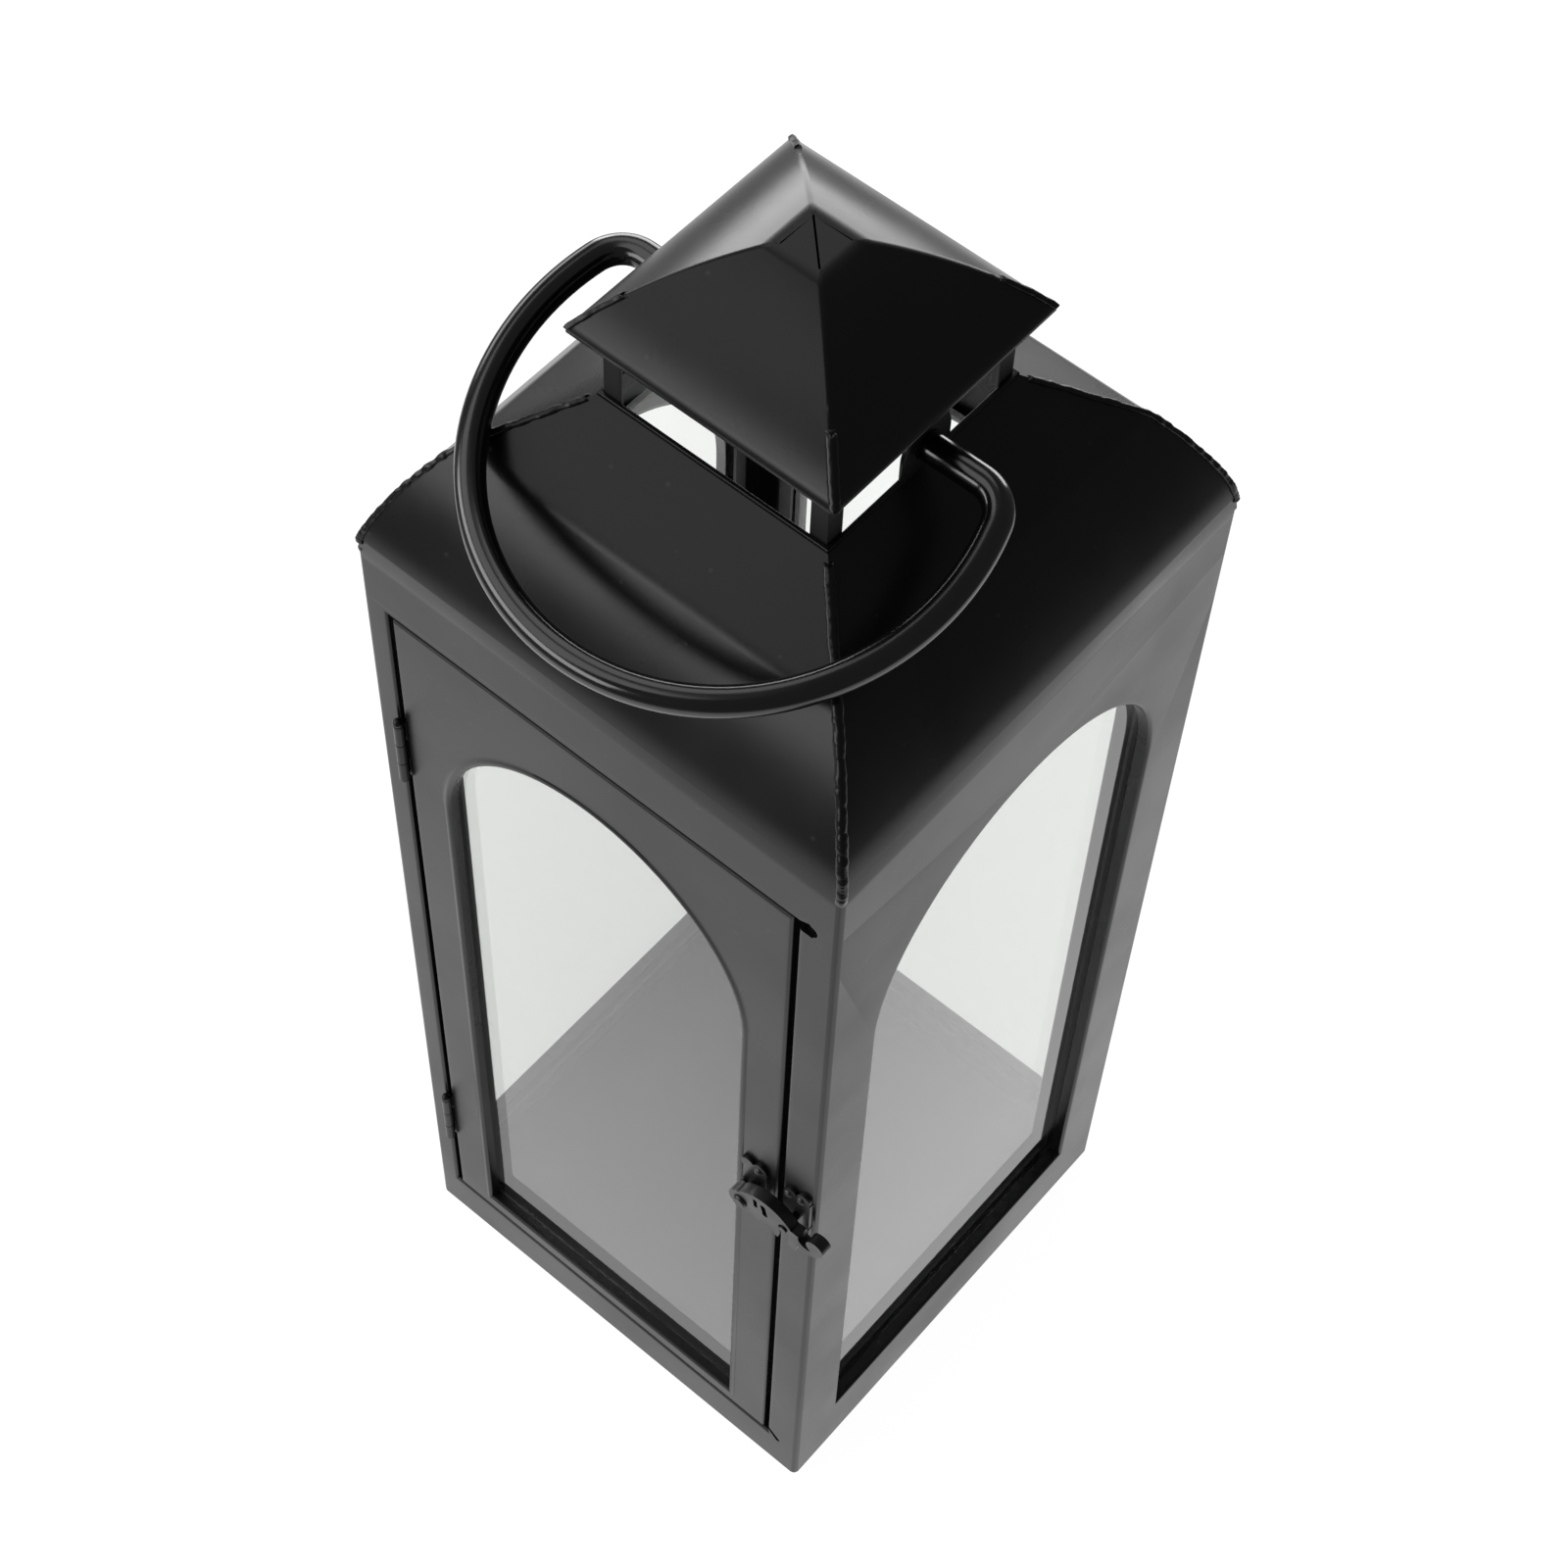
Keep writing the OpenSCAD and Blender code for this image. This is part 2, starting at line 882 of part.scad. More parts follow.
module latch_catch_peg() {
  peg_front = -hook_back_y + hook_t + 0.5;
  color(steel)
    translate([latch_x + peg_at[0], 0, latch_z + peg_at[1]])
      rotate([90, 0, 0]) {
        translate([0, 0, wall_in - rivet_tail_h])
          cylinder(h = rivet_tail_h, r = rivet_head_r);
        translate([0, 0, wall_in - rivet_tail_h])
          cylinder(h = rivet_tail_h + sheet_t + plate_t + 1, r = rivet_r);
        translate([0, 0, half + plate_t])
          cylinder(h = peg_front - half - plate_t, r = peg_r);
      }
}

// ---- handle ----

module handle() {
  rod_r = rod_d / 2;
  color(steel)
    translate([0, 0, pivot_z])
      rotate([180 + rest_tilt, 0, 0]) {
        translate([0, loop_reach, 0])
          rotate([0, 0, -loop_a])
            rotate_extrude(angle = 180 + 2 * loop_a)
              translate([loop_r, 0])
                circle(rod_r);
        for (side = [0, 1])
          rotate([0, 180 * side, 0]) {
            translate([elbow_x, elbow_r, 0])
              rotate([0, 0, -90])
                rotate_extrude(angle = 90 - loop_a)
                  translate([elbow_r, 0])
                    circle(rod_r);
            translate([elbow_x, elbow_r, 0])
              rotate([0, 0, -loop_a])
                translate([elbow_r, (lead - weld_len) / 2, 0])
                  rotate([-90, 0, 0])
                    cylinder(h = weld_len, r = rod_r + weld_h);
            translate([stub_in, 0, 0])
              rotate([0, 90, 0])
                cylinder(h = elbow_x - stub_in, r = rod_r);
          }
      }
}

front_panel();
right_panel();
back_panel();
left_panel();
base_pan();
right_glass();
back_glass();
left_glass();
right_glass_rails();
back_glass_rails();
left_glass_rails();
hip_seams();
vent_collar();
front_left_post();
front_right_post();
back_left_post();
back_right_post();
cap();
cap_seams();
door_panel();
door_glass();
door_glass_rails();
upper_hinge_frame_leaf();
upper_hinge_door_leaf();
upper_hinge_pin();
lower_hinge_frame_leaf();
lower_hinge_door_leaf();
lower_hinge_pin();
latch_door_plate();
latch_door_rivets();
latch_pivot_stud();
latch_hook();
latch_catch_plate();
latch_catch_rivets();
latch_catch_peg();
handle();
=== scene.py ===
import math

import bmesh
import bpy
from mathutils import Matrix
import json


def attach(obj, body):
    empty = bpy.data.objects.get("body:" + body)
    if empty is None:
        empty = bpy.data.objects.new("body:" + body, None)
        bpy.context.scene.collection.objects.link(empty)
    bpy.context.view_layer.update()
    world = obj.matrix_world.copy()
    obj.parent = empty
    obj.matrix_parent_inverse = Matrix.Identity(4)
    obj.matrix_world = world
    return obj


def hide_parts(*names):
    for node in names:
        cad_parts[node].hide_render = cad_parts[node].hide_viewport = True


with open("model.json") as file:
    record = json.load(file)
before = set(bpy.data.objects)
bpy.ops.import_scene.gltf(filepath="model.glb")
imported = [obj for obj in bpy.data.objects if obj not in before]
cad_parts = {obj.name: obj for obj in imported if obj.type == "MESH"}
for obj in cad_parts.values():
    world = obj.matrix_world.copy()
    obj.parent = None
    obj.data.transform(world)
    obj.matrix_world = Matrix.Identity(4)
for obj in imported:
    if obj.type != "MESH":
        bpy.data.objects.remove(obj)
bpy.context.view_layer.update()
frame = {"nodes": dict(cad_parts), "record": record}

mm = 0.001
mergeGap = 0.01 * mm  # points closer than this become one
nodeObjects = frame["nodes"]


# Small tools for edit mode

def pick(kind, test):  # selects the points that pass the test, or the edges whose two ends both pass it
    bpy.ops.mesh.select_mode(type=kind)
    bpy.ops.mesh.select_all(action="DESELECT")
    mesh = bpy.context.edit_object.data
    shape = bmesh.from_edit_mesh(mesh)
    if kind == "VERT":
        for vert in shape.verts:
            vert.select_set(test(vert.co))
    else:
        for edge in shape.edges:
            edge.select_set(all(test(vert.co) for vert in edge.verts))
    bmesh.update_edit_mesh(mesh)


def keepBoundary():  # of the selected edges, keeps those on a free border of the sheet
    mesh = bpy.context.edit_object.data
    shape = bmesh.from_edit_mesh(mesh)
    border = [edge for edge in shape.edges if edge.select and len(edge.link_faces) < 2]
    bpy.ops.mesh.select_all(action="DESELECT")
    for edge in border:
        edge.select_set(True)
    bmesh.update_edit_mesh(mesh)


def near(value, target, slack=0.02 * mm):
    return abs(value - target) < slack


def addRect(x0, z0, x1, z1, y):  # an upright rectangle facing the front, added to the open mesh
    middle = ((x0 + x1) / 2, y, (z0 + z1) / 2)
    bpy.ops.mesh.primitive_plane_add(size=1, location=middle, rotation=(math.radians(90), 0, 0))
    bpy.ops.transform.resize(value=(x1 - x0, 1, z1 - z0), center_override=middle)


def addArch(x0, z0, x1, z1, y, segments):  # the same, its two top corners rounded into a half circle
    addRect(x0, z0, x1, z1, y)
    mesh = bpy.context.edit_object.data
    shape = bmesh.from_edit_mesh(mesh)
    tops = [vert for vert in shape.verts if vert.select and near(vert.co.z, z1)]
    bpy.ops.mesh.select_mode(type="VERT")
    bpy.ops.mesh.select_all(action="DESELECT")
    for vert in tops:
        vert.select_set(True)
    bmesh.update_edit_mesh(mesh)
    bpy.ops.mesh.bevel(offset=(x1 - x0) / 2, segments=segments, affect="VERTICES", profile=0.5)
    pick("VERT", lambda co: near(co.y, y) and near(co.z, z1))
    bpy.ops.mesh.remove_doubles(threshold=mergeGap)


def emptyPiece(name):  # a new mesh in edit mode with nothing in it yet
    bpy.ops.object.select_all(action="DESELECT")
    bpy.ops.mesh.primitive_plane_add(size=1)
    piece = bpy.context.object
    piece.name = name
    bpy.ops.object.mode_set(mode="EDIT")
    bpy.ops.mesh.delete(type="VERT")
    return piece


def growLoop(sides, steps):
    # extrudes the selected flat loop through (grow, y) steps, grow being how far it lies outside the sides
    x0, z0, x1, z1 = sides
    grow, y = steps[0]
    middle = ((x0 + x1) / 2, y, (z0 + z1) / 2)
    for nextGrow, nextY in steps[1:]:
        widen = ((x1 - x0) / 2 + nextGrow) / ((x1 - x0) / 2 + grow)
        heighten = ((z1 - z0) / 2 + nextGrow) / ((z1 - z0) / 2 + grow)
        bpy.ops.mesh.extrude_edges_indiv()
        bpy.ops.transform.resize(value=(widen, 1, heighten), center_override=middle)
        bpy.ops.transform.translate(value=(0, nextY - y, 0))
        grow = nextGrow
        y = nextY


def faceFront(y, flatness=0.99):  # turns the normals of an open sheet so that its flat front faces -Y
    bpy.ops.mesh.select_mode(type="FACE")
    bpy.ops.mesh.select_all(action="SELECT")
    bpy.ops.mesh.normals_make_consistent(inside=False)
    shape = bmesh.from_edit_mesh(bpy.context.edit_object.data)
    flat = [face for face in shape.faces
            if near(face.calc_center_median().y, y) and abs(face.normal.y) > flatness]
    if sum(face.normal.y * face.calc_area() for face in flat) > 0:
        bpy.ops.mesh.flip_normals()


def applyModifier(piece, kind, **settings):
    modifier = piece.modifiers.new(kind.title(), kind)
    for key, value in settings.items():
        setattr(modifier, key, value)
    bpy.context.view_layer.objects.active = piece
    bpy.ops.object.modifier_apply(modifier=modifier.name)


def selectOnly(piece):
    bpy.ops.object.select_all(action="DESELECT")
    piece.select_set(True)
    bpy.context.view_layer.objects.active = piece


def finishPiece(piece, body, nodes, angle=35):
    # places it, smooths it below the angle with flat faces leading the shading, and hangs it on its body
    selectOnly(piece)
    bpy.ops.object.transform_apply(location=True, rotation=True, scale=True)
    bpy.ops.object.shade_smooth_by_angle(angle=math.radians(angle))
    applyModifier(piece, "WEIGHTED_NORMAL", keep_sharp=True, weight=60)
    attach(piece, body)
    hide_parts(*nodes)


# Materials

def linear(hexColour):  # an sRGB hex colour as linear light
    channels = []
    for k in (1, 3, 5):
        value = int(hexColour[k:k + 2], 16) / 255
        channels.append(value / 12.92 if value <= 0.04045 else ((value + 0.055) / 1.055) ** 2.4)
    return (*channels, 1)


def addNode(tree, kind, settings=None, inputs=None, links=None):
    node = tree.nodes.new(kind)
    for key, value in (settings or {}).items():
        setattr(node, key, value)
    for key, value in (inputs or {}).items():
        node.inputs[key].default_value = value
    for key, socket in (links or {}).items():
        tree.links.new(socket, node.inputs[key])
    return node


def startMaterial(name):
    material = bpy.data.materials.new(name)
    material.use_nodes = True
    material.node_tree.nodes.clear()
    return material, material.node_tree


# Colours, roughness where it is rubbed and where it isn't, and the sizes of its patterns in millimetres.
# Polyester powder baked on the outer sheets: a satin near-black with wide, soft reflections
sheetPaint = {"ior": 1.33, "dark": "#0B0B0C", "worn": "#131314", "dust": "#3A3A3A",
              "glossy": 0.22, "dull": 0.34,
              "patchSize": 45, "peelSize": 1.6, "speckGap": 9, "peelStrength": 0.15}
# The thinner coat inside, which nobody wipes: flatter and a little greyer
innerPaint = {"ior": 1.45, "dark": "#101011", "worn": "#1C1C1D", "dust": "#444444",
              "glossy": 0.4, "dull": 0.55,
              "patchSize": 30, "peelSize": 1.6, "speckGap": 7, "peelStrength": 0.08}
# Gloss enamel on the bent rod: deep black with narrow, crisp highlights along it
rodPaint = {"ior": 1.6, "dark": "#060606", "worn": "#0A0A0B", "dust": "#202020",
            "glossy": 0.13, "dull": 0.2,
            "patchSize": 20, "peelSize": 2.4, "speckGap": 11, "peelStrength": 0.12}
# Paint over rough castings: grainy, with small broken highlights
castPaint = {"ior": 1.45, "dark": "#0A0A0A", "worn": "#171717", "dust": "#3A3A3A",
             "glossy": 0.25, "dull": 0.42,
             "patchSize": 8, "peelSize": 0.9, "speckGap": 5, "peelStrength": 0.6}
dustSpeck = {"reach": 0.09, "cover": 0.6}  # its size as a part of the gap, and how much it hides


def paintedSteel(name, coat):
    # A painted steel surface mirrors its surroundings softly. It has the faint ripple of baked paint,
    # patches rubbed a little duller and specks of dust.
    material, tree = startMaterial(name)
    place = addNode(tree, "ShaderNodeTexCoord").outputs["Object"]
    patches = addNode(tree, "ShaderNodeTexNoise",
                      inputs={"Scale": 1 / (coat["patchSize"] * mm), "Detail": 4}, links={"Vector": place})
    peel = addNode(tree, "ShaderNodeTexNoise",
                   inputs={"Scale": 1 / (coat["peelSize"] * mm), "Detail": 2}, links={"Vector": place})
    specks = addNode(tree, "ShaderNodeTexVoronoi",
                     inputs={"Scale": 1 / (coat["speckGap"] * mm)}, links={"Vector": place})
    dust = addNode(tree, "ShaderNodeMapRange",
                   inputs={"From Min": 0.0, "From Max": dustSpeck["reach"],
                           "To Min": dustSpeck["cover"], "To Max": 0.0},
                   links={"Value": specks.outputs["Distance"]})
    # a colour Mix node takes its factor at 0 and its two colours at 6 and 7
    tone = addNode(tree, "ShaderNodeMix", {"data_type": "RGBA"},
                   {6: linear(coat["dark"]), 7: linear(coat["worn"])}, {0: patches.outputs["Fac"]})
    colour = addNode(tree, "ShaderNodeMix", {"data_type": "RGBA"}, {7: linear(coat["dust"])},
                     {0: dust.outputs["Result"], 6: tone.outputs[2]})
    gloss = addNode(tree, "ShaderNodeMapRange",
                    inputs={"From Min": 0.3, "From Max": 0.7,
                            "To Min": coat["glossy"], "To Max": coat["dull"]},
                    links={"Value": patches.outputs["Fac"]})
    bump = addNode(tree, "ShaderNodeBump", inputs={"Strength": coat["peelStrength"], "Distance": 0.05 * mm},
                   links={"Height": peel.outputs["Fac"]})
    shader = addNode(tree, "ShaderNodeBsdfPrincipled", inputs={"IOR": coat["ior"]},
                     links={"Base Color": colour.outputs[2], "Roughness": gloss.outputs["Result"],
                            "Normal": bump.outputs["Normal"]})
    addNode(tree, "ShaderNodeOutputMaterial", links={"Surface": shader.outputs[0]})
    return material


glassLook = {"tint": "#F7F8F7", "ior": 1.4}


def floatGlass():
    # Clear float glass: flat and smooth, so it mirrors the bright table over whatever lies behind it.
    # On the way out of the pane the IOR is turned over, or the inner face would mirror everything.
    material, tree = startMaterial("floatGlass")
    clear = addNode(tree, "ShaderNodeBsdfTransparent", inputs={"Color": linear(glassLook["tint"])})
    mirror = addNode(tree, "ShaderNodeBsdfGlossy", inputs={"Color": (1, 1, 1, 1), "Roughness": 0.0})
    side = addNode(tree, "ShaderNodeNewGeometry").outputs["Backfacing"]
    ior = addNode(tree, "ShaderNodeMapRange",
                  inputs={"To Min": glassLook["ior"], "To Max": 1 / glassLook["ior"]}, links={"Value": side})
    fresnel = addNode(tree, "ShaderNodeFresnel", links={"IOR": ior.outputs["Result"]})
    either = addNode(tree, "ShaderNodeMixShader",
                     links={0: fresnel.outputs[0], 1: clear.outputs[0], 2: mirror.outputs[0]})
    addNode(tree, "ShaderNodeOutputMaterial", links={"Surface": either.outputs[0]})
    return material


slotMaterials = {
    "black_steel": paintedSteel("powderCoatedSteel", sheetPaint),
    "inner_steel": paintedSteel("innerCoatedSteel", innerPaint),
    "black_rod": paintedSteel("enamelledRod", rodPaint),
    "black_cast": paintedSteel("paintedCasting", castPaint),
    "window_glass": floatGlass(),
}


def paint(piece, slot):
    piece.data.materials.clear()
    piece.data.materials.append(slotMaterials[slot])


print("materials ready")

# Housing walls: each is one sheet that rises, bends over into a quarter of the roof and ends at the vent

wall = {
    "halfWidth": 75 * mm, "height": 341.4 * mm, "sheet": 1 * mm,
    "fold": 1 * mm, "flatRing": 0.8 * mm,  # radius of a folded edge, and the flat kept round it
    "overrun": 4 * mm,  # how much too wide the sheet is before it is mitred
    "topStrip": 14 * mm,  # the plain strip under the first bend
    # radius, slope at the start and at the end in degrees, and steps of each bend on the way up
    "bends": [(34.4 * mm, 90, 66, 16), (120 * mm, 66, 52.2, 18), (13 * mm, 52.2, 34.6, 10)],
    "ventHalf": 34 * mm, "cornerRound": 2 * mm, "cornerTurns": (15, 30, 45),
}
fixedWindow = {"width": 112 * mm, "sill": 23.5 * mm, "crown": 314 * mm, "rim": 3 * mm, "segments": 28}
doorway = {"x0": -67.2 * mm, "x1": 63.3 * mm, "z0": 17 * mm, "z1": 324.9 * mm,
           "rim": 5 * mm, "stop": 3.3 * mm}  # depth of the folded edge, and width of the stop behind the door
# Torn slots at the doorway's right corners: outline and middle of the round end as (x, z), in millimetres
reliefs = {
    "topRelief": {"outline": [(61.3, 324.5), (63, 321.7), (67.5, 321.7), (68.3, 325.1), (66.3, 326.9)],
                  "roundAt": (66.9, 324.3), "radius": 2},
    "bottomRelief": {"outline": [(62.4, 22.2), (62.4, 20.4), (66.8, 15.9), (67.9, 17.2)],
                     "roundAt": (67.3, 16.5), "radius": 0.9},
}


def foldSteps(depth, inwards, turns=5):  # (grow, y) of a loop carried round a fold and then straight in
    side = -1 if inwards else 1
    front = -wall["halfWidth"]
    radius = wall["fold"]
    steps = []
    for k in range(turns + 1):
        turn = math.radians(90 * k / turns)
        steps.append((-side * radius * (1 - math.sin(turn)), front + radius * (1 - math.cos(turn))))
    steps.append((0, front + depth))
    return steps


def fillSheet(x0, z0, x1, z1):  # a flat sheet between the outline already drawn and these outer sides
    bpy.ops.mesh.select_all(action="DESELECT")
    addRect(x0, z0, x1, z1, -wall["halfWidth"])
    bpy.ops.mesh.select_all(action="SELECT")
    bpy.ops.mesh.delete(type="ONLY_FACE")
    bpy.ops.mesh.select_all(action="SELECT")
    bpy.ops.mesh.fill(use_beauty=True)


def inOpening(co, sides, ring):  # in the opening, or on the outline a ring's width outside it
    x0, z0, x1, z1 = sides
    spare = 1.5 * ring
    return x0 - spare < co.x < x1 + spare and z0 - spare < co.z < z1 + spare


def pickOpening(sides, ring):
    pick("EDGE", lambda co: inOpening(co, sides, ring))
    keepBoundary()


def giveThickness(piece):
    applyModifier(piece, "SOLIDIFY", thickness=wall["sheet"], offset=-1, use_even_offset=True)


def cutBack(normal, place):  # cuts away what lies beyond a plane and closes the cut
    bpy.ops.mesh.select_all(action="SELECT")
    bpy.ops.mesh.bisect(plane_co=place, plane_no=normal, use_fill=True, clear_outer=True)


def curveRoof():  # carries the top edge of the sheet round the three bends and up to the vent
    r = wall["halfWidth"]
    z = wall["height"]
    pick("EDGE", lambda co: near(co.z, z - wall["topStrip"]))
    keepBoundary()
    bpy.ops.mesh.extrude_edges_indiv()
    bpy.ops.transform.translate(value=(0, 0, wall["topStrip"]))
    for radius, slopeFrom, slopeTo, steps in wall["bends"]:
        centreR = r - radius * math.sin(math.radians(slopeFrom))
        centreZ = z - radius * math.cos(math.radians(slopeFrom))
        bpy.ops.mesh.spin(steps=steps, angle=math.radians(slopeFrom - slopeTo), axis=(1, 0, 0),
                          center=(0, -centreR, centreZ))
        r = centreR + radius * math.sin(math.radians(slopeTo))
        z = centreZ + radius * math.cos(math.radians(slopeTo))
    run = r - wall["ventHalf"] + wall["overrun"]
    lastSlope = wall["bends"][-1][2]
    bpy.ops.mesh.extrude_edges_indiv()
    bpy.ops.transform.translate(value=(0, run, run * math.tan(math.radians(lastSlope))))


def roundCorners():  # cuts the upright outer edge at each end back to a round corner, a slice at a time
    radius = wall["cornerRound"]
    middle = wall["halfWidth"] - radius
    for side in (-1, 1):
        for turn in wall["cornerTurns"]:
            normal = (side * math.sin(math.radians(turn)), -math.cos(math.radians(turn)), 0)
            cutBack(normal, (side * middle + radius * normal[0], -middle + radius * normal[1], 0))


def mitreSheet(piece):  # gives the sheet its thickness and cuts it back to the two diagonals and the vent
    bpy.ops.object.mode_set(mode="OBJECT")
    giveThickness(piece)
    bpy.ops.object.mode_set(mode="EDIT")
    cutBack((1, 1, 0), (0, 0, 0))
    cutBack((-1, 1, 0), (0, 0, 0))
    cutBack((0, 1, 0), (0, -wall["ventHalf"], 0))
    roundCorners()
    bpy.ops.object.mode_set(mode="OBJECT")


def wallSheet(name, sides, arched, depth, stop=0):  # a wall with one opening, its edge folded inwards
    front = -wall["halfWidth"]
    ring = wall["fold"] + wall["flatRing"]
    wide = wall["halfWidth"] + wall["overrun"]
    x0, z0, x1, z1 = sides
    piece = emptyPiece(name)
    if arched:
        addArch(x0 - ring, z0 - ring, x1 + ring, z1 + ring, front, fixedWindow["segments"])
    else:
        addRect(x0 - ring, z0 - ring, x1 + ring, z1 + ring, front)
    fillSheet(-wide, 0, wide, wall["height"] - wall["topStrip"])
    pickOpening(sides, ring)
    growLoop(sides, [(ring, front)] + foldSteps(depth, True))
    if stop:  # a second fold along the right side, for the door to close against
        pick("EDGE", lambda co: near(co.y, front + depth) and near(co.x, x1))
        bpy.ops.mesh.extrude_edges_indiv()
        bpy.ops.transform.translate(value=(-stop, 0, 0))
    curveRoof()
    faceFront(front)
    mitreSheet(piece)
    return piece


def reliefCutter(name, relief, depth=6 * mm):  # a block with the slot's outline and a round bar at its end
    front = -wall["halfWidth"]
    upright = (math.radians(90), 0, 0)
    outline = relief["outline"]
    roundX, roundZ = relief["roundAt"]
    radius = relief["radius"] * mm
    piece = emptyPiece(name)
    bpy.ops.mesh.primitive_circle_add(vertices=len(outline), radius=radius, fill_type="NGON",
                                      location=(0, front - depth / 2, 0), rotation=upright)
    shape = bmesh.from_edit_mesh(bpy.context.edit_object.data)
    for face in shape.faces:
        for vert, (x, z) in zip(face.verts, outline):
            vert.co.x = x * mm
            vert.co.z = z * mm
    bmesh.update_edit_mesh(bpy.context.edit_object.data)
    bpy.ops.mesh.select_mode(type="FACE")
    bpy.ops.mesh.select_all(action="SELECT")
    bpy.ops.mesh.extrude_region_move(TRANSFORM_OT_translate={"value": (0, depth, 0)})
    bpy.ops.mesh.select_all(action="DESELECT")
    bpy.ops.mesh.primitive_cylinder_add(vertices=24, radius=radius, depth=depth,
                                        location=(roundX * mm, front, roundZ * mm), rotation=upright)
    bpy.ops.mesh.select_all(action="SELECT")
    bpy.ops.mesh.normals_make_consistent(inside=False)
    bpy.ops.object.mode_set(mode="OBJECT")
    bpy.ops.object.transform_apply(location=True, rotation=True, scale=True)
    return piece


frontWall = wallSheet("frontWall", (doorway["x0"], doorway["z0"], doorway["x1"], doorway["z1"]), False,
                      doorway["rim"], doorway["stop"])
for name, relief in reliefs.items():
    cutter = reliefCutter(name, relief)
    applyModifier(frontWall, "BOOLEAN", operation="DIFFERENCE", object=cutter, use_self=True)
    bpy.data.objects.remove(cutter)
glazedWall = wallSheet("glazedWall", (-fixedWindow["width"] / 2, fixedWindow["sill"],
                                      fixedWindow["width"] / 2, fixedWindow["crown"]), True,
                       fixedWindow["rim"] + wall["sheet"])
for name, node, turn in (("rightWall", "right_panel", 90), ("backWall", "back_panel", 180),
                         ("leftWall", "left_panel", 270)):
    selectOnly(glazedWall)
    bpy.ops.object.duplicate()
    turnedWall = bpy.context.object
    turnedWall.name = name
    turnedWall.rotation_euler.z = math.radians(turn)
    finishPiece(turnedWall, "housing", [node])
    paint(turnedWall, "black_steel")
bpy.data.objects.remove(glazedWall)
finishPiece(frontWall, "housing", ["front_panel"])
paint(frontWall, "black_steel")
print("walls ready")

# Door: a folded sheet with an arched window and a pressed bead round it

door = {
    "x0": -65.5 * mm, "x1": 61.6 * mm, "z0": 18 * mm, "z1": 323.9 * mm,
    "edge": 4.5 * mm,  # depth of the folded edge
    "windowX": -2 * mm, "windowWidth": 99 * mm, "sill": 25 * mm, "crown": 303 * mm,
    "rim": 3 * mm, "segments": 28,
    # how far outside the window and how far behind the front face the bead runs, in millimetres
    "bead": [(2.2, 0), (1.9, -0.22), (1.3, -0.4), (0.7, -0.34), (0.25, -0.05), (0, 0.5)],
}


def doorSheet():
    front = -wall["halfWidth"]
    edge = wall["fold"] + wall["flatRing"]
    ring = door["bead"][0][0] * mm + wall["flatRing"]
    x0 = door["windowX"] - door["windowWidth"] / 2
    x1 = door["windowX"] + door["windowWidth"] / 2
    window = (x0, door["sill"], x1, door["crown"])
    outside = (door["x0"], door["z0"], door["x1"], door["z1"])
    piece = emptyPiece("doorSheet")
    addArch(x0 - ring, door["sill"] - ring, x1 + ring, door["crown"] + ring, front, door["segments"])
    fillSheet(door["x0"] + edge, door["z0"] + edge, door["x1"] - edge, door["z1"] - edge)
    pickOpening(window, ring)
    bead = [(grow * mm, front + depth * mm) for grow, depth in door["bead"]]
    growLoop(window, [(ring, front)] + bead + [(0, front + door["rim"])])
    pick("EDGE", lambda co: near(co.y, front) and not inOpening(co, window, ring))
    keepBoundary()
    growLoop(outside, [(-edge, front)] + foldSteps(door["edge"], False))
    faceFront(front)
    bpy.ops.object.mode_set(mode="OBJECT")
    giveThickness(piece)
    return piece


doorPiece = doorSheet()
finishPiece(doorPiece, "door", ["door_panel"])
paint(doorPiece, "black_steel")
print("door ready")

# Cap: a pyramid with hollowed sides, open below

cap = {"eaveHalf": 38.4 * mm, "eaveZ": 419.9 * mm, "topHalf": 7.1 * mm, "topZ": 444 * mm,
       "radius": 77.6 * mm,  # of the hollow
       "lip": 1.5 * mm, "steps": 20, "topSoftness": 1.8 * mm, "hipSoftness": 0.9 * mm, "segments": 3}


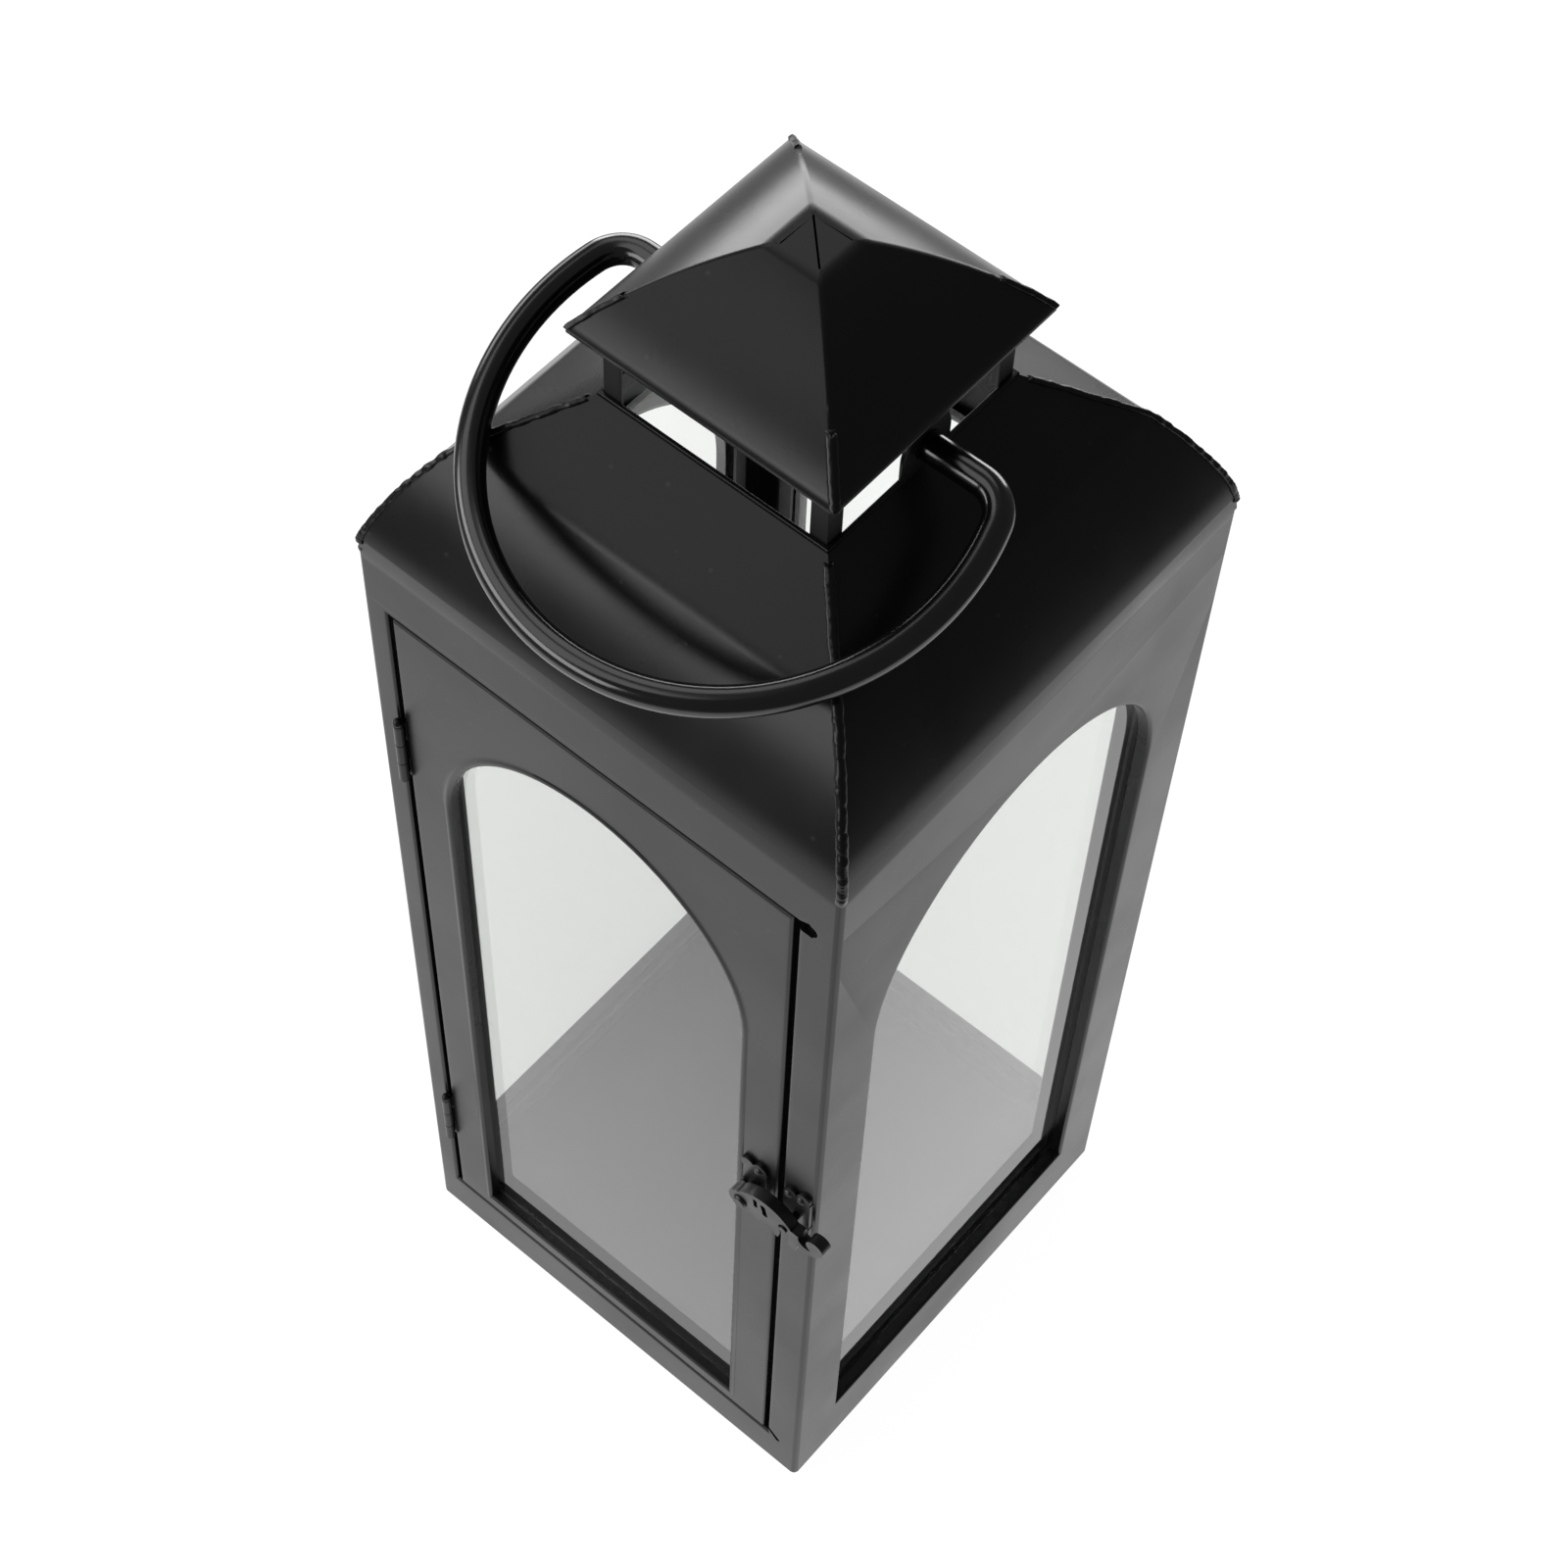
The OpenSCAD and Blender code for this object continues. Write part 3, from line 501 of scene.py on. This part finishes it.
def capSheet():
    eave = (cap["eaveHalf"], cap["eaveZ"])
    top = (cap["topHalf"], cap["topZ"])
    chord = math.dist(eave, top)
    rise = math.sqrt(cap["radius"] ** 2 - chord ** 2 / 4)
    centreR = (eave[0] + top[0]) / 2 - rise * (top[1] - eave[1]) / chord
    centreZ = (eave[1] + top[1]) / 2 + rise * (top[0] - eave[0]) / chord
    start = math.atan2(top[1] - centreZ, top[0] - centreR)
    end = math.atan2(eave[1] - centreZ, eave[0] - centreR)
    bpy.ops.object.select_all(action="DESELECT")
    bpy.ops.mesh.primitive_plane_add(size=2 * cap["topHalf"], location=(0, 0, cap["topZ"]))
    piece = bpy.context.object
    piece.name = "capSheet"
    bpy.ops.object.transform_apply(location=True)
    bpy.ops.object.mode_set(mode="EDIT")
    bpy.ops.mesh.select_mode(type="EDGE")
    bpy.ops.mesh.select_all(action="SELECT")
    r, z = top
    for k in range(1, cap["steps"] + 1):
        angle = start + (end - start) * k / cap["steps"]
        nextR = centreR + cap["radius"] * math.cos(angle)
        nextZ = centreZ + cap["radius"] * math.sin(angle)
        bpy.ops.mesh.extrude_edges_indiv()
        bpy.ops.transform.resize(value=(nextR / r, nextR / r, 1), center_override=(0, 0, z))
        bpy.ops.transform.translate(value=(0, 0, nextZ - z))
        r = nextR
        z = nextZ
    bpy.ops.mesh.extrude_edges_indiv()
    bpy.ops.transform.translate(value=(0, 0, -cap["lip"]))
    bpy.ops.mesh.select_all(action="SELECT")
    bpy.ops.mesh.remove_doubles(threshold=mergeGap)
    bpy.ops.mesh.normals_make_consistent(inside=False)
    pick("EDGE", lambda co: near(abs(co.x), abs(co.y)) and co.z > cap["eaveZ"] - cap["lip"] / 2)
    mesh = piece.data
    shape = bmesh.from_edit_mesh(mesh)
    for edge in shape.edges:  # of these, only the hips
        edge.select_set(edge.select and not near(edge.verts[0].co.z, edge.verts[1].co.z))
    bmesh.update_edit_mesh(mesh)
    bpy.ops.mesh.bevel(offset=cap["hipSoftness"], segments=cap["segments"], affect="EDGES")
    pick("EDGE", lambda co: near(co.z, cap["topZ"]))
    bpy.ops.mesh.bevel(offset=cap["topSoftness"], segments=cap["segments"], affect="EDGES")
    bpy.ops.object.mode_set(mode="OBJECT")
    giveThickness(piece)
    return piece


capPiece = capSheet()
finishPiece(capPiece, "housing", ["cap"])
paint(capPiece, "black_steel")
print("cap ready")

# Handle: one rod bent into an open ring, its two ends turned inwards along the pivot

rod = {
    "radius": 3.75 * mm, "pivotZ": 403.5 * mm,
    "loop": 61.4 * mm, "reach": 25 * mm,  # radius of the ring, and how far its middle is from the pivot
    "elbow": 10 * mm, "stub": 30.5 * mm,  # radius of the elbows, and where the ends stop
    "tilt": 15.3,  # degrees it hangs below level at rest
    "sides": 40, "elbowSteps": 14, "loopSteps": 96, "endSoftness": 0.7 * mm, "endSegments": 3,
}


def bentRod():
    step = rod["loop"] - rod["elbow"]
    fall = rod["reach"] - rod["elbow"]
    lead = math.degrees(math.asin(fall / step))
    elbowX = math.sqrt(step ** 2 - fall ** 2)
    tilt = math.radians(rod["tilt"])
    outwards = (0, -math.cos(tilt), -math.sin(tilt))  # from the pivot towards the middle of the ring
    normal = (0, -math.sin(tilt), math.cos(tilt))  # square to the ring

    def onRing(x, along):
        return (x, outwards[1] * along, rod["pivotZ"] + outwards[2] * along)

    bpy.ops.object.select_all(action="DESELECT")
    bpy.ops.mesh.primitive_circle_add(vertices=rod["sides"], radius=rod["radius"], fill_type="NGON",
                                      location=(rod["stub"], 0, rod["pivotZ"]),
                                      rotation=(0, math.radians(90), 0))
    piece = bpy.context.object
    piece.name = "bentRod"
    bpy.ops.object.transform_apply(location=True, rotation=True)
    bpy.ops.object.mode_set(mode="EDIT")
    bpy.ops.mesh.select_mode(type="EDGE")
    bpy.ops.mesh.select_all(action="SELECT")
    bpy.ops.mesh.extrude_edges_indiv()
    bpy.ops.transform.translate(value=(elbowX - rod["stub"], 0, 0))
    for centre, angle, steps in ((onRing(elbowX, rod["elbow"]), 90 - lead, rod["elbowSteps"]),
                                 (onRing(0, rod["reach"]), 180 + 2 * lead, rod["loopSteps"]),
                                 (onRing(-elbowX, rod["elbow"]), 90 - lead, rod["elbowSteps"])):
        bpy.ops.mesh.spin(steps=steps, angle=math.radians(angle), center=centre, axis=normal)
    bpy.ops.mesh.extrude_edges_indiv()
    bpy.ops.transform.translate(value=(elbowX - rod["stub"], 0, 0))
    bpy.ops.mesh.edge_face_add()
    bpy.ops.mesh.select_all(action="SELECT")
    bpy.ops.mesh.remove_doubles(threshold=mergeGap)
    bpy.ops.mesh.normals_make_consistent(inside=False)
    pick("EDGE", lambda co: near(abs(co.x), rod["stub"]))
    bpy.ops.mesh.bevel(offset=rod["endSoftness"], segments=rod["endSegments"], affect="EDGES")
    bpy.ops.object.mode_set(mode="OBJECT")
    return piece


handlePiece = bentRod()
finishPiece(handlePiece, "handle", ["handle"], angle=50)
paint(handlePiece, "black_rod")
print("handle ready")

# Small fittings: softened copies of their plain solids

softening = {"mergeGap": 0.005 * mm, "flatBelow": 1, "sharpAbove": 40, "segments": 3}  # angles in degrees
fittings = {  # solid: name, body, slot and how far its edges are softened in millimetres
    "vent_collar": ("ventCollar", "housing", "black_steel", 0.3),
    "base_pan": ("basePan", "housing", "inner_steel", 0.4),
    "latch_hook": ("latchHook", "hook", "black_cast", 0.5),
    "latch_door_plate": ("latchDoorPlate", "door", "black_cast", 0.3),
    "latch_catch_plate": ("latchCatchPlate", "housing", "black_cast", 0.3),
    "latch_pivot_stud": ("latchPivotStud", "door", "black_cast", 0.2),
    "latch_catch_peg": ("latchCatchPeg", "housing", "black_cast", 0.2),
    "front_left_post": ("frontLeftPost", "housing", "inner_steel", 0.25),
    "front_right_post": ("frontRightPost", "housing", "inner_steel", 0.25),
    "back_left_post": ("backLeftPost", "housing", "inner_steel", 0.25),
    "back_right_post": ("backRightPost", "housing", "inner_steel", 0.25),
}
for place in ("upper", "lower"):
    fittings[place + "_hinge_frame_leaf"] = (place + "FrameLeaf", "housing", "black_steel", 0.12)
    fittings[place + "_hinge_door_leaf"] = (place + "DoorLeaf", "door", "black_steel", 0.12)
    fittings[place + "_hinge_pin"] = (place + "HingePin", "housing", "black_steel", 0.1)


def plainCopy(node, name):  # an own copy of a solid with its doubled points merged
    selectOnly(nodeObjects[node])
    bpy.ops.object.duplicate()
    piece = bpy.context.object
    piece.name = name
    piece.parent = None
    bpy.ops.object.mode_set(mode="EDIT")
    bpy.ops.mesh.select_all(action="SELECT")
    bpy.ops.mesh.remove_doubles(threshold=softening["mergeGap"])
    bpy.ops.object.mode_set(mode="OBJECT")
    return piece


def softenedCopy(node, name, softness):
    piece = plainCopy(node, name)
    bpy.ops.object.mode_set(mode="EDIT")
    bpy.ops.mesh.select_all(action="SELECT")
    bpy.ops.mesh.dissolve_limited(angle_limit=math.radians(softening["flatBelow"]))
    bpy.ops.object.mode_set(mode="OBJECT")
    applyModifier(piece, "BEVEL", width=softness * mm, segments=softening["segments"],
                  limit_method="ANGLE", angle_limit=math.radians(softening["sharpAbove"]),
                  use_clamp_overlap=True)
    return piece


for node, (name, body, slot, softness) in fittings.items():
    fitting = softenedCopy(node, name, softness)
    finishPiece(fitting, body, [node])
    paint(fitting, slot)
print("fittings ready")

# Seams: beads of solder along the hips, lumpy as the iron left them

seam = {
    "grain": 0.25 * mm, "lumpSize": 3.2 * mm, "roofLumps": 0.8 * mm, "capLumps": 0.5 * mm,
    "fullness": 0.42,  # below half, so that the lumps add more than they take away
    "roofFade": 396 * mm, "capFade": 430 * mm, "sink": 0.9 * mm,  # above these heights the bead sinks in
    "roofFoot": 347 * mm, "footShrink": 0.991,  # below this height it is drawn in towards the middle
    "frontSwell": 0.45 * mm, "smoothing": 0.5, "rounds": 3,
}


def solderSeam(node, name, lumpHeight, fadeAbove):
    piece = plainCopy(node, name)
    applyModifier(piece, "REMESH", mode="VOXEL", voxel_size=seam["grain"])
    bpy.ops.object.mode_set(mode="EDIT")
    pick("VERT", lambda co: co.z > fadeAbove)
    bpy.ops.transform.translate(value=(0, 0, -seam["sink"]))
    pick("VERT", lambda co: co.z < seam["roofFoot"])
    bpy.ops.transform.resize(value=(seam["footShrink"], seam["footShrink"], 1), center_override=(0, 0, 0))
    bpy.ops.object.mode_set(mode="OBJECT")
    lumps = bpy.data.textures.new(name + "Lumps", "CLOUDS")
    lumps.noise_scale = seam["lumpSize"]
    lumps.noise_depth = 1
    applyModifier(piece, "DISPLACE", texture=lumps, texture_coords="LOCAL", strength=lumpHeight,
                  mid_level=seam["fullness"])
    bpy.ops.object.mode_set(mode="EDIT")
    pick("VERT", lambda co: co.x > 0 and co.y < 0 and co.z < fadeAbove)
    bpy.ops.transform.shrink_fatten(value=seam["frontSwell"])
    bpy.ops.object.mode_set(mode="OBJECT")
    applyModifier(piece, "SMOOTH", factor=seam["smoothing"], iterations=seam["rounds"])
    finishPiece(piece, "housing", [node], angle=80)
    paint(piece, "black_steel")


solderSeam("hip_seams", "hipSeams", seam["roofLumps"], seam["roofFade"])
solderSeam("cap_seams", "capSeams", seam["capLumps"], seam["capFade"])
print("seams ready")

# The panes, their rails and the rivets keep their plain solids and take only a material

for entry in frame["record"]["subparts"]:
    paint(nodeObjects[entry["node"]], entry["material_slot"])

# Table, lights and camera

studio = {
    "tableSize": 8, "tableTone": "#484848", "tableRoughness": 0.9,
    "tableGlow": 0.98, "edgeGlow": 0.1, "brightOut": 0.6, "dimFrom": 0.95,  # glow, and its reach in metres
    # the sunny values paint the table's glow a tenth brighter towards the front left: a painted pool of light
    "sunnyTowards": (-0.7, -0.7, 0), "sunnyReach": 0.5, "sunnyExtra": 0.1,
    "ambient": 0.15,
}
lamps = {  # soft panels: where, aimed where, width and height in metres, and how bright the panel looks
    "overheadPanel": {"at": (-0.95, -0.75, 1.75), "aim": (0, 0, 0.4), "size": (1.5, 1.2), "bright": 1.4},
    "topPanel": {"at": (-0.95, 0.75, 2.1), "aim": (0, 0, 0.4), "size": (1.1, 1.1), "bright": 1.3},
    "frontPanel": {"at": (-1.4, -1.7, 0.9), "aim": (0, 0, 0.4), "size": (2.9, 0.9), "bright": 4.4},
    "leftPanel": {"at": (-1.9, 0.6, 0.8), "aim": (0, 0, 0.4), "size": (1.3, 0.8), "bright": 2.8},
    "backPanel": {"at": (-0.9, 1.6, 0.6), "aim": (0, 0, 0.4), "size": (2.4, 0.9), "bright": 5.2},
}


def whiteTable():
    # Towards the front left its glow is painted a tenth brighter, a painted pool of light on that side.
    # A matt white table that glows evenly round the object, so no hard shadow or lamp shows on it.
    # Farther out it is dim, or the black walls would mirror it as grey.
    material, tree = startMaterial("whiteTable")
    spot = addNode(tree, "ShaderNodeTexCoord").outputs["Object"]
    distance = addNode(tree, "ShaderNodeVectorMath", {"operation": "LENGTH"}, links={0: spot})
    glow = addNode(tree, "ShaderNodeMapRange", {"interpolation_type": "SMOOTHSTEP"},
                   {"From Min": studio["brightOut"], "From Max": studio["dimFrom"],
                    "To Min": studio["tableGlow"], "To Max": studio["edgeGlow"]},
                   {"Value": distance.outputs["Value"]})
    # painted pool of light: the glow grows brighter towards the front left
    towards = addNode(tree, "ShaderNodeVectorMath", {"operation": "DOT_PRODUCT"},
                      {1: studio["sunnyTowards"]}, {0: spot})
    extra = addNode(tree, "ShaderNodeMapRange", {"interpolation_type": "SMOOTHSTEP"},
                    {"From Min": 0, "From Max": studio["sunnyReach"],
                     "To Min": 1, "To Max": 1 + studio["sunnyExtra"]},
                    {"Value": towards.outputs["Value"]})
    strength = addNode(tree, "ShaderNodeMath", {"operation": "MULTIPLY"},
                       links={0: glow.outputs["Result"], 1: extra.outputs["Result"]})
    shader = addNode(tree, "ShaderNodeBsdfPrincipled",
                     inputs={"Base Color": linear(studio["tableTone"]),
                             "Roughness": studio["tableRoughness"], "Emission Color": (1, 1, 1, 1)},
                     links={"Emission Strength": strength.outputs[0]})
    addNode(tree, "ShaderNodeOutputMaterial", links={"Surface": shader.outputs[0]})
    return material


bpy.ops.mesh.primitive_plane_add(size=studio["tableSize"])
table = bpy.context.object
table.name = "table"
table.data.materials.append(whiteTable())

world = bpy.data.worlds.new("studio")
bpy.context.scene.world = world
world.use_nodes = True
world.node_tree.nodes["Background"].inputs["Color"].default_value = (1, 1, 1, 1)
world.node_tree.nodes["Background"].inputs["Strength"].default_value = studio["ambient"]


def aimAt(thing, target):
    across, along, up = [target[k] - thing.location[k] for k in range(3)]
    tip = math.atan2(math.hypot(across, along), -up)
    thing.rotation_euler = (tip, 0, math.atan2(across, -along) + math.pi)


for name, lamp in lamps.items():
    bpy.ops.object.light_add(type="AREA", location=lamp["at"])
    light = bpy.context.object
    light.name = name
    light.data.shape = "RECTANGLE"
    light.data.size = lamp["size"][0]
    light.data.size_y = lamp["size"][1]
    light.data.energy = lamp["bright"] * math.pi * lamp["size"][0] * lamp["size"][1]
    aimAt(light, lamp["aim"])

camera = {"at": (291.2 * mm, -376.0 * mm, 962.4 * mm), "right": (0.76214, 0.64682, 0.02766),
          "up": (-0.55417, 0.62968, 0.54443), "lens": 74.55, "sensor": 36, "nearest": 0.05}
bpy.ops.object.camera_add()
view = bpy.context.object
view.data.lens = camera["lens"]
view.data.sensor_width = camera["sensor"]
view.data.clip_start = camera["nearest"]
right = camera["right"]
up = camera["up"]
back = (right[1] * up[2] - right[2] * up[1],
        right[2] * up[0] - right[0] * up[2],
        right[0] * up[1] - right[1] * up[0])
view.matrix_world = Matrix([[right[k], up[k], back[k], camera["at"][k]] for k in range(3)] + [[0, 0, 0, 1]])
bpy.context.scene.camera = view
bpy.context.scene.view_settings.view_transform = "Standard"
print("studio ready")
